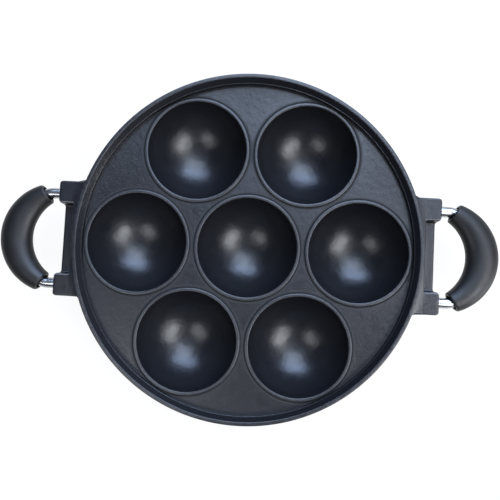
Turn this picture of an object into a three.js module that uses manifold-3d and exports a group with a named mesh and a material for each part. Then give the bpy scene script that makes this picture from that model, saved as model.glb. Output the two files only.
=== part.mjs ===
// Seven-well egg pan: a one-piece cast body and two fixed side handles.
// Each handle is a bent steel rod, pinned into two lug blocks of the casting, inside a moulded grip.
// Millimetres, +Z up. The origin lies on the hob, under the middle of the centre well.

import * as THREE from 'three';
import { mergeVertices } from 'three/addons/utils/BufferGeometryUtils.js';
import Module from 'manifold-3d';

const wasm = await Module();
wasm.setup();

// Wells: near-hemispherical cups with a raised bead round each mouth and a small flat foot below
const OUTER_WELLS = 6;
const WELL_MOUTH_RADIUS = 34.8;
const WELL_DEPTH = 31;
const WELL_WALL = 3.2;
const FOOT_RADIUS = 8;
const BEAD_WIDTH = 2.1;
const BEAD_HEIGHT = 1.1;
const BEAD_GAP = 3;
const DOME_FILLET = 1.6;

// Tray: the floor between the wells, the ledge that a lid sits on and the round-topped lip
const PLATE_THICKNESS = 5.6;
const FLOOR_MARGIN = 0.2;
const FLOOR_FILLET = 0.7;
const LEDGE_HEIGHT = 3.9;
const LEDGE_WIDTH = 0.6;
const LIP_HEIGHT = 7.5;
const LIP_THICKNESS = 2.7;
const LIP_RUN = 2.3;
const WALL_DRAFT = THREE.MathUtils.degToRad(9);
const WALL_CORNER = 2;

// Lugs: two blocks for the rod's legs, joined by a lower web
const BLOCK_REACH = 11;
const BLOCK_OUTER_SIDE = 8.3;
const BLOCK_INNER_SIDE = 6.9;
const BLOCK_ROOF = 3;
const BLOCK_BASE = 1.6;
const BLOCK_DROP = 0.9;
const BLOCK_CORNER = 2.2;
const LUG_EDGE = 1.2;
const WEB_SETBACK = 2.1;
const WEB_THICKNESS = 4.2;
const STRIP_WIDTH = 0.4;
const POCKET_FILLET = 1.8;
const POCKET_DRAFT = THREE.MathUtils.degToRad(10);

// Rods: a wide arc through the grip, a tighter bend at each end and two parallel legs
const ROD_DIAMETER = 7.4;
const ROD_ARC_RADIUS = 33.6;
const ROD_ARC_HALF_ANGLE = THREE.MathUtils.degToRad(62);
const ROD_BEND_RADIUS = 14;
const ROD_FREE_LEG = 5.5;
const ROD_SEAT = 13.5;

// Grips: crescents, widest in the middle, with a bore that opens out at both ends
const GRIP_WIDTH = 21.8;
const GRIP_HEIGHT = 16;
const GRIP_SIDE_WALL = 2;
const GRIP_TOP_WALL = 1.6;
const GRIP_OVERHANG = 2.4;
const GRIP_END_LEAN = THREE.MathUtils.degToRad(9);
const GRIP_EDGE = 1;
const MOUTH_GAP = 1.5;
const MOUTH_DEPTH = 9;

// Pins: dowels pressed up through the blocks and the rod's legs
const PIN_DIAMETER = 3;
const PIN_CHAMFER = 0.4;
const PIN_ROOF = 1.5;
const PIN_SETBACK = 6.5;

// Gaps between pieces that touch, and the depth by which joined bodies run into one another
const FIT = 0.3;
const OVERLAP = 0.8;
const SKIN = 0.05;

// Facets
const WELL_SEGMENTS = 24;
const RIM_SEGMENTS = 68;
const QUARTER_STEPS = 3;
const BEAD_STEPS = 4;
const WELL_STEPS = 6;
const DOME_STEPS = 4;
const FILLET_STEPS = 2;
const ROD_SIDES = 12;
const ROD_STEPS = 34;
const GRIP_SIDES = 16;
const GRIP_STEPS = 16;

// Sizes that follow from those above
const beadRadius = WELL_MOUTH_RADIUS + BEAD_WIDTH;
const wellPitch = 2 * beadRadius + BEAD_GAP;
const wellSphere = (WELL_MOUTH_RADIUS ** 2 + WELL_DEPTH ** 2) / (2 * WELL_DEPTH);
const domeSphere = wellSphere + WELL_WALL;
const sphereLevel = Math.sqrt(domeSphere ** 2 - FOOT_RADIUS ** 2);
const floorLevel = sphereLevel - wellSphere + WELL_DEPTH;
const undersideLevel = floorLevel - PLATE_THICKNESS;
const ledgeLevel = floorLevel + LEDGE_HEIGHT;
const lipLevel = floorLevel + LIP_HEIGHT;
const floorRadius = wellPitch + beadRadius + FLOOR_MARGIN;
const wallRadius = floorRadius + FLOOR_FILLET;
const ledgeRadius = wallRadius + LEDGE_WIDTH;
const lipInnerRadius = ledgeRadius + LIP_RUN;
const lipRadius = lipInnerRadius + LIP_THICKNESS;
const lipMiddle = lipRadius - LIP_THICKNESS / 2;
const lipShoulder = lipLevel - LIP_THICKNESS / 2;
const blockFace = lipRadius + BLOCK_REACH;
const blockTop = lipLevel - BLOCK_DROP;
const blockHeight = BLOCK_ROOF + ROD_DIAMETER + BLOCK_BASE;
const blockBottom = blockTop - blockHeight;
const webTop = blockBottom + WEB_THICKNESS;
const rodRadius = ROD_DIAMETER / 2;
const rodLevel = blockBottom + BLOCK_BASE + rodRadius;
const legOffset = (ROD_ARC_RADIUS - ROD_BEND_RADIUS) * Math.sin(ROD_ARC_HALF_ANGLE) + ROD_BEND_RADIUS;
const bendCentre = blockFace + ROD_FREE_LEG;
const arcCentre = bendCentre - (ROD_ARC_RADIUS - ROD_BEND_RADIUS) * Math.cos(ROD_ARC_HALF_ANGLE);
const rodEnd = blockFace - ROD_SEAT;
const gripHalfAngle = ROD_ARC_HALF_ANGLE + GRIP_OVERHANG / ROD_ARC_RADIUS;
const mouthRadius = rodRadius + MOUTH_GAP;
const gripEndWidth = 2 * (mouthRadius + GRIP_SIDE_WALL);
const gripEndHeight = 2 * (mouthRadius + GRIP_TOP_WALL);
const pinRadius = PIN_DIAMETER / 2;
const pinTop = blockTop - PIN_ROOF;

const coatedAluminium = new THREE.MeshStandardMaterial({ color: 0x2e3035, roughness: 0.55, metalness: 0.25 });
const polishedSteel = new THREE.MeshStandardMaterial({ color: 0xc9ccd0, roughness: 0.18, metalness: 1 });
const blackMoulding = new THREE.MeshStandardMaterial({ color: 0x1d1d1f, roughness: 0.45, metalness: 0 });
const plainSteel = new THREE.MeshStandardMaterial({ color: 0x9a9da1, roughness: 0.35, metalness: 1 });

// Straight runs between corners [x, y, radius], each radius drawn as a tangent arc no longer than its runs.
function roundedRuns(corners, closed) {
  const points = [];
  const count = corners.length;
  corners.forEach(([x, y, radius = 0], i) => {
    const corner = new THREE.Vector2(x, y);
    const isEnd = !closed && (i === 0 || i === count - 1);
    if (isEnd || radius === 0) {
      points.push(corner);
      return;
    }
    const before = new THREE.Vector2(...corners.at(i - 1)).sub(corner);
    const after = new THREE.Vector2(...corners[(i + 1) % count]).sub(corner);
    const room = Math.min(before.length(), after.length()) / 2;
    before.normalize();
    after.normalize();
    const halfAngle = Math.acos(THREE.MathUtils.clamp(before.dot(after), -1, 1)) / 2;
    const reach = Math.min(radius / Math.tan(halfAngle), room);
    const fitted = reach * Math.tan(halfAngle);
    const inward = before.clone().add(after).normalize();
    const centre = inward.multiplyScalar(fitted / Math.sin(halfAngle)).add(corner);
    const from = before.multiplyScalar(reach).add(corner).sub(centre);
    const to = after.multiplyScalar(reach).add(corner).sub(centre);
    const turn = Math.atan2(from.cross(to), from.dot(to));
    const steps = Math.max(2, Math.round(QUARTER_STEPS * Math.abs(turn) / (Math.PI / 2)));
    for (let k = 0; k <= steps; k += 1) {
      points.push(from.clone().rotateAround(new THREE.Vector2(), turn * k / steps).add(centre));
    }
  });
  return points;
}

// Points of an arc about (x, y) from one angle to another, both ends included.
function arc(x, y, radius, start, end, steps) {
  return Array.from({ length: steps + 1 }, (_, k) => {
    const angle = start + (end - start) * k / steps;
    return new THREE.Vector2(x + radius * Math.cos(angle), y + radius * Math.sin(angle));
  });
}

// A closed geometry as a solid: vertices joined by position, triangles of no area dropped.
function toSolid(geometry) {
  const bare = new THREE.BufferGeometry();
  bare.setAttribute('position', geometry.getAttribute('position'));
  bare.setIndex(geometry.getIndex());
  const joined = mergeVertices(bare, 1e-3);
  const index = joined.getIndex().array;
  const triangles = [];
  for (let i = 0; i < index.length; i += 3) {
    const [a, b, c] = index.slice(i, i + 3);
    if (a !== b && b !== c && c !== a) triangles.push(a, b, c);
  }
  return new wasm.Manifold(new wasm.Mesh({
    numProp: 3,
    vertProperties: new Float32Array(joined.getAttribute('position').array),
    triVerts: new Uint32Array(triangles),
  }));
}

function toGeometry(solid) {
  const mesh = solid.getMesh();
  const geometry = new THREE.BufferGeometry();
  geometry.setAttribute('position', new THREE.BufferAttribute(mesh.vertProperties, 3));
  geometry.setIndex(new THREE.BufferAttribute(mesh.triVerts, 1));
  const faceted = geometry.toNonIndexed();
  faceted.computeVertexNormals();
  return faceted;
}

// A profile of radius and height, from the axis round to the axis again, turned about Z.
function revolved(profile, segments) {
  return toSolid(new THREE.LatheGeometry(profile, segments).rotateX(Math.PI / 2));
}

function cylinder(radius, low, high, segments) {
  const corners = [[0, low], [radius, low], [radius, high], [0, high]];
  return revolved(corners.map(([x, y]) => new THREE.Vector2(x, y)), segments);
}

// A cylinder along X at the height of the rods.
function cylinderAlongX(radius, from, to, y) {
  const geometry = new THREE.CylinderGeometry(radius, radius, to - from, ROD_SIDES);
  return toSolid(geometry.rotateZ(Math.PI / 2).translate((from + to) / 2, y, rodLevel));
}

// Rings of points, in order, closed by a flat end at the first and the last.
function lofted(rings) {
  const sides = rings[0].length;
  const position = rings.flat().flatMap((p) => [p.x, p.y, p.z]);
  const index = [];
  for (let r = 0; r + 1 < rings.length; r += 1) {
    for (let k = 0; k < sides; k += 1) {
      const a = r * sides + k;
      const b = r * sides + (k + 1) % sides;
      index.push(a, b, b + sides, a, b + sides, a + sides);
    }
  }
  const last = (rings.length - 1) * sides;
  for (let k = 1; k + 1 < sides; k += 1) {
    index.push(0, k + 1, k, last, last + k, last + k + 1);
  }
  const geometry = new THREE.BufferGeometry();
  geometry.setAttribute('position', new THREE.Float32BufferAttribute(position, 3));
  geometry.setIndex(index);
  return toSolid(geometry);
}

// Body casting

// The tray: floor, fillet, lid ledge, sloped wall, round lip, drafted outer wall and flat underside.
function traySolid() {
  const baseRadius = lipRadius - (lipLevel - undersideLevel) * Math.tan(WALL_DRAFT);
  const profile = roundedRuns([
    [0, undersideLevel],
    [baseRadius, undersideLevel, WALL_CORNER],
    [lipRadius, lipShoulder],
    ...arc(lipMiddle, lipShoulder, LIP_THICKNESS / 2, 0, Math.PI, 2 * QUARTER_STEPS)
      .slice(1)
      .map((p) => [p.x, p.y]),
    [ledgeRadius, ledgeLevel],
    [wallRadius, ledgeLevel],
    [wallRadius, floorLevel, FLOOR_FILLET],
    [0, floorLevel],
  ], false);
  return revolved(profile, RIM_SEGMENTS);
}

// One cup: foot, dome with a fillet to the underside, bead and hollow.
function cupSolid() {
  const filletPlane = undersideLevel + SKIN;
  const filletLevel = filletPlane - DOME_FILLET;
  const filletRadius = Math.sqrt((domeSphere + DOME_FILLET) ** 2 - (sphereLevel - filletLevel) ** 2);
  const meeting = Math.atan2(filletLevel - sphereLevel, filletRadius);
  const footAngle = Math.atan2(-sphereLevel, FOOT_RADIUS);
  const mouthAngle = Math.atan2(floorLevel - sphereLevel, WELL_MOUTH_RADIUS);
  const bead = Array.from({ length: BEAD_STEPS }, (_, k) => {
    const angle = Math.PI * k / BEAD_STEPS;
    const x = WELL_MOUTH_RADIUS + BEAD_WIDTH * (1 - Math.cos(angle)) / 2;
    return new THREE.Vector2(x, floorLevel + BEAD_HEIGHT * Math.sin(angle));
  });
  const profile = [
    new THREE.Vector2(0, 0),
    ...arc(0, sphereLevel, domeSphere, footAngle, meeting, DOME_STEPS),
    ...arc(filletRadius, filletLevel, DOME_FILLET, meeting + Math.PI, Math.PI / 2, FILLET_STEPS).slice(1),
    new THREE.Vector2(filletRadius, undersideLevel + OVERLAP),
    new THREE.Vector2(beadRadius, floorLevel - OVERLAP),
    ...bead.reverse(),
    ...arc(0, sphereLevel, wellSphere, mouthAngle, -Math.PI / 2, WELL_STEPS).slice(1),
  ];
  return revolved(profile, WELL_SEGMENTS);
}

// The lug at +X: a block outline with a step in to the web, pocketed from above and bored for the rod.
function lugSolid() {
  const outer = legOffset + BLOCK_OUTER_SIDE;
  const inner = legOffset - BLOCK_INNER_SIDE;
  const web = blockFace - WEB_SETBACK;
  const step = WEB_SETBACK / 2;
  const root = Math.sqrt(floorRadius ** 2 - outer ** 2);
  const half = [
    [web, inner - step, BLOCK_CORNER],
    [blockFace, inner + step, BLOCK_CORNER],
    [blockFace, outer, BLOCK_CORNER],
    [root, outer],
  ];
  const mirrored = half.map(([x, y, radius]) => [x, -y, radius]).reverse();
  const outline = new THREE.Shape(roundedRuns([...mirrored, ...half], true));
  const block = new THREE.ExtrudeGeometry(outline, {
    depth: blockHeight - 2 * LUG_EDGE,
    bevelThickness: LUG_EDGE,
    bevelSize: LUG_EDGE,
    bevelOffset: -LUG_EDGE,
    bevelSegments: 2,
  }).translate(0, 0, blockBottom + LUG_EDGE);

  const brim = blockTop + SKIN;
  const wide = inner + 2 * LUG_EDGE;
  const high = blockTop + blockHeight;
  const pocketHalf = [
    [inner - (blockTop - webTop) * Math.tan(POCKET_DRAFT), webTop, POCKET_FILLET],
    [inner, brim, LUG_EDGE],
    [wide, brim],
    [wide, high],
  ];
  const pocketMirrored = pocketHalf.map(([y, z, radius]) => [-y, z, radius]).reverse();
  const section = new THREE.Shape(roundedRuns([...pocketMirrored, ...pocketHalf], true));
  const pocketStart = lipRadius + STRIP_WIDTH;
  const pocket = new THREE.ExtrudeGeometry(section, { depth: 2 * BLOCK_REACH, bevelEnabled: false });
  const alongX = new THREE.Matrix4().makeBasis(
    new THREE.Vector3(0, 1, 0),
    new THREE.Vector3(0, 0, 1),
    new THREE.Vector3(1, 0, 0),
  );
  pocket.applyMatrix4(alongX).translate(pocketStart, 0, 0);

  const trayRoom = cylinder(lipInnerRadius, undersideLevel + PLATE_THICKNESS / 2, lipLevel, RIM_SEGMENTS);
  const lipRoom = cylinder(lipMiddle, lipShoulder - OVERLAP, lipLevel, RIM_SEGMENTS);
  return toSolid(block).subtract(toSolid(pocket)).subtract(trayRoom.add(lipRoom));
}

function bodySolid() {
  const cup = cupSolid();
  const openingRadius = WELL_MOUTH_RADIUS + BEAD_WIDTH / 2;
  const opening = cylinder(openingRadius, undersideLevel - OVERLAP, lipLevel, WELL_SEGMENTS);
  const lug = lugSolid();
  let body = traySolid().add(lug).add(lug.rotate([0, 0, 180]));
  for (let k = -1; k < OUTER_WELLS; k += 1) {
    const angle = 2 * Math.PI * k / OUTER_WELLS;
    const distance = k < 0 ? 0 : wellPitch;
    const place = [distance * Math.cos(angle), distance * Math.sin(angle), 0];
    body = body.subtract(opening.translate(place));
    body = body.add(cup.translate(place));
  }
  const pinHole = cylinder(pinRadius + FIT, blockBottom - OVERLAP, pinTop + FIT, ROD_SIDES);
  for (const y of [-legOffset, legOffset]) {
    const bore = cylinderAlongX(rodRadius + FIT, rodEnd - FIT, blockFace + OVERLAP, y);
    const hole = pinHole.translate([blockFace - PIN_SETBACK, y, 0]);
    for (const turn of [0, 180]) {
      body = body.subtract(bore.rotate([0, 0, turn])).subtract(hole.rotate([0, 0, turn]));
    }
  }
  return body;
}

// Handle pieces, for the handle at +X

// The rod's centre line: leg, bend, arc, bend, leg, by distance along it.
class RodLine extends THREE.Curve {
  getPoint(share, target = new THREE.Vector3()) {
    const leg = bendCentre - rodEnd;
    const bend = ROD_BEND_RADIUS * (Math.PI / 2 - ROD_ARC_HALF_ANGLE);
    const halfArc = ROD_ARC_RADIUS * ROD_ARC_HALF_ANGLE;
    const half = leg + bend + halfArc;
    const offset = (2 * share - 1) * half;
    const side = Math.sign(offset) || 1;
    const distance = Math.abs(offset);
    if (distance <= halfArc) {
      const angle = distance / ROD_ARC_RADIUS;
      const x = arcCentre + ROD_ARC_RADIUS * Math.cos(angle);
      return target.set(x, side * ROD_ARC_RADIUS * Math.sin(angle), rodLevel);
    }
    if (distance <= halfArc + bend) {
      const angle = ROD_ARC_HALF_ANGLE + (distance - halfArc) / ROD_BEND_RADIUS;
      const y = legOffset - ROD_BEND_RADIUS + ROD_BEND_RADIUS * Math.sin(angle);
      return target.set(bendCentre + ROD_BEND_RADIUS * Math.cos(angle), side * y, rodLevel);
    }
    return target.set(bendCentre - (distance - halfArc - bend), side * legOffset, rodLevel);
  }
}

function rodSolid() {
  const section = new THREE.Shape(arc(0, 0, rodRadius, 0, 2 * Math.PI, ROD_SIDES).slice(0, -1));
  const line = new RodLine();
  const bar = toSolid(new THREE.ExtrudeGeometry(section, { steps: ROD_STEPS, extrudePath: line }));
  const hole = cylinder(pinRadius + FIT, blockBottom, blockTop, ROD_SIDES);
  const x = blockFace - PIN_SETBACK;
  return bar.subtract(hole.translate([x, legOffset, 0])).subtract(hole.translate([x, -legOffset, 0]));
}

// A ring of points across the rod's arc at an angle, half as wide and high as given.
// Towards the ends the ring leans, so that the inside of the crescent is longer than a square cut leaves it.
function ringAcrossArc(angle, halfWidth, halfHeight, sides) {
  const lean = Math.tan(GRIP_END_LEAN) * angle / gripHalfAngle;
  return arc(0, 0, 1, 0, 2 * Math.PI, sides).slice(0, -1).map((p) => {
    const radius = ROD_ARC_RADIUS + halfWidth * p.x;
    const turn = angle - lean * halfWidth * p.x / ROD_ARC_RADIUS;
    const x = arcCentre + radius * Math.cos(turn);
    return new THREE.Vector3(x, radius * Math.sin(turn), rodLevel - halfHeight * p.y);
  });
}

// Even angles along the grip, from one side of its middle to the other.
function spacedAngles(limit) {
  return Array.from({ length: GRIP_STEPS + 1 }, (_, k) => limit * (2 * k / GRIP_STEPS - 1));
}

// The crescent swells from its ends to its middle with the cosine of the angle round the arc.
function gripSolid() {
  const endCosine = Math.cos(gripHalfAngle);
  const swell = (end, middle, angle) => {
    const share = (Math.cos(angle) - endCosine) / (1 - endCosine);
    return end + (middle - end) * share;
  };
  const ring = (angle, inset) => ringAcrossArc(
    angle,
    swell(gripEndWidth, GRIP_WIDTH, angle) / 2 - inset,
    swell(gripEndHeight, GRIP_HEIGHT, angle) / 2 - inset,
    GRIP_SIDES,
  );
  const edgeAngle = GRIP_EDGE / ROD_ARC_RADIUS;
  const softening = 1 - Math.SQRT1_2;
  const even = spacedAngles(gripHalfAngle - edgeAngle);
  const rings = [
    ring(-gripHalfAngle, GRIP_EDGE),
    ring(-gripHalfAngle + edgeAngle * softening, GRIP_EDGE * softening),
    ...even.map((angle) => ring(angle, 0)),
    ring(gripHalfAngle - edgeAngle * softening, GRIP_EDGE * softening),
    ring(gripHalfAngle, GRIP_EDGE),
  ];

  const snug = rodRadius + FIT;
  const past = gripHalfAngle + OVERLAP / ROD_ARC_RADIUS;
  const mouthAngle = gripHalfAngle - MOUTH_DEPTH / ROD_ARC_RADIUS;
  const throatAngle = mouthAngle - (mouthRadius - snug) / ROD_ARC_RADIUS;
  const bore = (angle, radius) => ringAcrossArc(angle, radius, radius, ROD_SIDES);
  const boreRings = [
    bore(-past, mouthRadius),
    bore(-mouthAngle, mouthRadius),
    ...spacedAngles(throatAngle).map((angle) => bore(angle, snug)),
    bore(mouthAngle, mouthRadius),
    bore(past, mouthRadius),
  ];
  return lofted(rings).subtract(lofted(boreRings));
}

function pinSolid() {
  const low = blockBottom + FIT;
  const profile = [
    [0, low],
    [pinRadius - PIN_CHAMFER, low],
    [pinRadius, low + PIN_CHAMFER],
    [pinRadius, pinTop - PIN_CHAMFER],
    [pinRadius - PIN_CHAMFER, pinTop],
    [0, pinTop],
  ];
  return revolved(profile.map(([x, y]) => new THREE.Vector2(x, y)), ROD_SIDES);
}

function piece(name, geometry, material) {
  const mesh = new THREE.Mesh(geometry, material);
  mesh.name = name;
  return mesh;
}

// The pan

const pan = new THREE.Group();
pan.name = 'egg_pan';
pan.add(piece('pan_body', toGeometry(bodySolid()), coatedAluminium));

const rodGeometry = toGeometry(rodSolid());
const gripGeometry = toGeometry(gripSolid());
const pinGeometry = toGeometry(pinSolid());

for (const [side, turn] of [['right', 0], ['left', Math.PI]]) {
  const handle = new THREE.Group();
  handle.name = `${side}_handle`;
  handle.rotation.z = turn;
  handle.add(piece(`${side}_handle_rod`, rodGeometry, polishedSteel));
  handle.add(piece(`${side}_handle_grip`, gripGeometry, blackMoulding));
  for (const [end, sign] of [['rear', 1], ['front', -1]]) {
    const pin = piece(`${side}_${end}_rod_pin`, pinGeometry, plainSteel);
    const along = turn === 0 ? sign : -sign;
    pin.position.set(blockFace - PIN_SETBACK, along * legOffset, 0);
    handle.add(pin);
  }
  pan.add(handle);
}

export default pan;
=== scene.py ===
"""Seven-well egg pan with two fixed side handles, dressed on its packed frame and lit on a pale floor."""

import math
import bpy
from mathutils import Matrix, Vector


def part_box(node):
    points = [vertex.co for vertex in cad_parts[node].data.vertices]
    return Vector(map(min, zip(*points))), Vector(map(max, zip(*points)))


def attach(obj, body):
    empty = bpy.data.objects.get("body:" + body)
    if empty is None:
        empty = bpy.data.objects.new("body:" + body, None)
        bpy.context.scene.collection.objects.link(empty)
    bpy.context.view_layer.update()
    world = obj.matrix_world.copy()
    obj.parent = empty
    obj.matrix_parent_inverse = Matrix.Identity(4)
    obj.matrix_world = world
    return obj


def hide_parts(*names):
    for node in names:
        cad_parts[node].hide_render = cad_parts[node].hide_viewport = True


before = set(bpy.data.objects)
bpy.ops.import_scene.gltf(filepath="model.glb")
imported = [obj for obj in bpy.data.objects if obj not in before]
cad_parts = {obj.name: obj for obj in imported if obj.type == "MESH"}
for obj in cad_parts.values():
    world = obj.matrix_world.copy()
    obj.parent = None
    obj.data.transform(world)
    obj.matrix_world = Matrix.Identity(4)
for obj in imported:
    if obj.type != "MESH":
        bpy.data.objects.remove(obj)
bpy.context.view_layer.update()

from types import SimpleNamespace

import bmesh
import bpy
import numpy as np
from bpy.props import FloatProperty, FloatVectorProperty, PointerProperty
from bpy.types import NodeSocket, Operator, Panel, PropertyGroup, Scene
from mathutils import Matrix, Vector
from mathutils.geometry import delaunay_2d_cdt

LIP_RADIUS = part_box("pan_body")[1].y
BODY = "root"
IMAGE_WIDTH = 500
MM = 0.001

# Sign of X and Y on each side, as the left handle is the right one after half a turn
SIDES = {"right": 1.0, "left": -1.0}

bl_info = {
    "name": "Egg pan",
    "version": (1, 0, 0),
    "blender": (4, 5, 0),
    "location": "3D View > Sidebar > Egg Pan",
    "description": "Builds a seven-well egg pan on its packed frame, with finishes, light and camera",
    "category": "Object",
}

# How finely the surfaces are drawn
WELL_SEGMENTS = 96
RIM_SEGMENTS = 288
SPHERE_STEPS = 30
DOME_STEPS = 20
ROUND_STEPS = 6
WEB_SECTIONS = 12
WEB_STEPS = 8
BLOCK_SECTIONS = 8
ROD_SIDES = 48
ROD_STEPS = 161
GRIP_SIDES = 96
GRIP_STEPS = 110
BORE_STEPS = 60
WELD = 1e-6
MERGE = 1e-7
JUST_SHORT = 0.999
CREASE_ANGLE = math.radians(38)

# Power that squares the shoulders of a bead, and rings of points on its apron as shares of the apron's width
BEAD_SQUARENESS = 2 / 2.8
APRON_RINGS = np.array([0.25, 0.5, 1.0])

# Rings of points on a lug beside the lip, by distance past the lip
LIP_RINGS = MM * np.array([-2.0, -0.6, -0.4, -0.2, 0, 0.15, 0.3, 0.5, 0.75, 1.1, 1.5, 2.2])

# Masks that the casting's mesh carries for its finish, among them a painted highlight on the
# lugs' pocket-end edges and painted shade in the creases beside the beads
MASKS = ("lug_edge", "well_hollow", "lip_slope", "bead_crown", "bead_crease")

# How much bare metal shows where the coating is rubbed, on the bead crowns also as a painted highlight,
# and as a painted highlight on the lugs' pocket-end edges
CROWN_RUB_AND_HIGHLIGHT = 0.045
LIP_RUB = 0.045
EDGE_HIGHLIGHT = 0.4
FOOT_RUB = 0.55

# White for the background, and the room's tint, with the direction and the edge of its ceiling light
WHITE = (1.0, 1.0, 1.0)
ROOM_TINT = (0.82, 0.86, 1.0)
GLOW_AXIS = (0.30, 0.36, 0.88)
GLOW_EDGE = 0.62

# The lamps: width and height, direction from the pan, distance and tint
COOL = (0.50, 0.66, 1.0)
PALE = (0.62, 0.76, 1.0)
PLAIN = (0.91, 0.94, 1.0)
LAMPS = {
    "window": ((1.8, 0.7), (0.08, 0.77, 0.63), 2.0, COOL),
    "skylight": ((1.3, 0.9), (0.14, 0.46, 0.88), 2.0, PALE),
    "side_panel": ((0.9, 0.9), (0.52, 0.08, 0.85), 2.0, PLAIN),
    "right_lamp": ((1.0, 0.7), (0.62, -0.32, 0.71), 1.5, PLAIN),
    "left_lamp": ((0.22, 0.16), (-0.41, -0.42, 0.81), 0.45, PLAIN),
    "low_lamp": ((0.16, 0.08), (0.93, -0.32, 0.14), 0.45, PLAIN),
}

# The floor lies just under the feet, so that the two never share a plane
FLOOR_HALF = 6.0
FLOOR_LEVEL = -0.05 * MM


def labelled(group):
    """Makes the properties of a group, each with a label after its own name."""
    for key, (kind, options) in group.__annotations__.items():
        group.__annotations__[key] = kind(name=key.replace("_", " ").capitalize(), **options)
    return group


def plain(value, description, **options):
    """A number that a user may change, at least 0 unless told otherwise."""
    return FloatProperty, {"default": value, "description": description, "min": 0.0, **options}


def mm(size, description):
    """A length, given in millimetres."""
    return plain(size * MM, description, precision=5, subtype="DISTANCE", unit="LENGTH")


def degrees(size, description):
    """An angle, given in degrees."""
    return plain(math.radians(size), description, min=-math.pi, subtype="ANGLE", unit="ROTATION")


def watts(power, description):
    """The power of a lamp."""
    return plain(power, description, unit="POWER")


def colour(rgb, description):
    """A surface colour, as linear light."""
    options = {"default": rgb, "description": description, "size": 3, "min": 0.0, "max": 1.0}
    return FloatVectorProperty, {"subtype": "COLOR", **options}


def held(group):
    """A group of settings inside another, described by its docstring."""
    return PointerProperty, {"type": group, "description": group.__doc__}


@labelled
class CastingSizes(PropertyGroup):
    """Sizes of the casting: wells, tray and lip."""

    mouth_radius: mm(34.8, "Radius of a well at the tray's floor")
    depth: mm(31.0, "Depth of a well below the tray's floor")
    wall: mm(3.2, "Thickness of a well's wall")
    foot_radius: mm(8.0, "Radius of the flat that each well stands on")
    foot_edge: mm(0.8, "Rounding where the flat meets the dome")
    bead_width: mm(2.1, "Width of the raised bead round a well")
    bead_height: mm(1.1, "Height of the bead above the floor")
    bead_lean: mm(0.6, "How far the bead leans in over the well")
    bead_foot: mm(0.3, "Small hollow between bead and floor")
    # The bead apron is also the width of the painted shade in the crease beside a bead
    bead_apron: mm(2.0, "Width of the rougher coating round a bead")
    bead_gap: mm(3.0, "Floor left between two neighbouring beads")
    dome_fillet: mm(1.6, "Rounding between a dome and the underside")
    plate: mm(5.6, "Thickness of the tray's floor")
    floor_fillet: mm(0.12, "Rounding between floor and wall")
    ledge_height: mm(3.9, "Height of the lid ledge above the floor")
    ledge_width: mm(0.4, "Width of the lid ledge")
    ledge_edge: mm(0.18, "Rounding of the ledge's edges")
    lip_height: mm(7.5, "Height of the lip above the floor")
    lip_thickness: mm(2.7, "Thickness of the lip")
    lip_edge: mm(0.8, "Rounding of the lip's edges")
    lip_run: mm(2.9, "How far the wall slopes out between ledge and lip")
    wall_draft: degrees(9.0, "Taper of the outer wall")
    wall_corner: mm(2.0, "Rounding between outer wall and underside")


@labelled
class LugSizes(PropertyGroup):
    """Sizes of the two lugs that carry the handles."""

    reach: mm(11.0, "How far a block stands out from the lip")
    outer_side: mm(8.3, "From the rod's middle to a block's outer side")
    inner_side: mm(6.9, "From the rod's middle to the pocket")
    roof: mm(3.0, "Metal above the rod")
    base: mm(1.6, "Metal below the rod")
    drop: mm(0.9, "Depth of a block's top below the lip")
    corner: mm(2.2, "Rounding of a block's upright corners")
    edge: mm(1.2, "Rounding of the long edges")
    web_setback: mm(2.1, "How far the web stands back from the block faces")
    web_thickness: mm(4.2, "Thickness of the web under the pocket")
    strip: mm(0.4, "Metal left between pocket and lip")
    pocket_edge: mm(1.4, "Rounding at the top of the pocket's end walls")
    pocket_fillet: mm(1.5, "Rounding at the foot of the pocket's end walls")
    pocket_draft: degrees(4.0, "Lean of the pocket's end walls")
    side_fillet: mm(1.2, "Rounding at the foot of the pocket's wall beside the lip")
    side_draft: degrees(4.0, "Lean of the pocket's wall beside the lip")
    flare: mm(1.3, "Rounding where a block's side runs into the lip")
    lip_blend: mm(6.0, "Length over which a block's top rises to the lip")


@labelled
class HandleSizes(PropertyGroup):
    """Sizes of a handle: rod, grip and pins."""

    rod_diameter: mm(7.4, "Thickness of the rod")
    arc_radius: mm(33.6, "Radius of the rod's arc inside the grip")
    arc_half_angle: degrees(62.0, "Half of the angle that the arc spans")
    bend_radius: mm(14.0, "Radius of the bend between arc and leg")
    free_leg: mm(5.5, "Straight leg between bend and block")
    seat: mm(13.5, "Length of a leg inside its block")
    grip_width: mm(21.8, "Width of the grip in its middle")
    grip_height: mm(16.0, "Height of the grip in its middle")
    side_wall: mm(2.0, "Grip wall beside the open end")
    top_wall: mm(1.6, "Grip wall above the open end")
    overhang: mm(2.4, "How far the grip runs past the arc")
    end_lean: degrees(9.0, "Slant of the grip's ends")
    grip_edge: mm(1.0, "Rounding of the grip's ends")
    mouth_gap: mm(1.5, "Gap round the rod in the grip's open end")
    mouth_depth: mm(9.0, "Depth of the open end")
    pin_diameter: mm(3.0, "Thickness of a rod pin")
    pin_setback: mm(6.5, "Distance of a pin from the block face")
    pin_roof: mm(1.5, "Metal left above a pin")
    fit: mm(0.3, "Gap between pieces that fit together")


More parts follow.
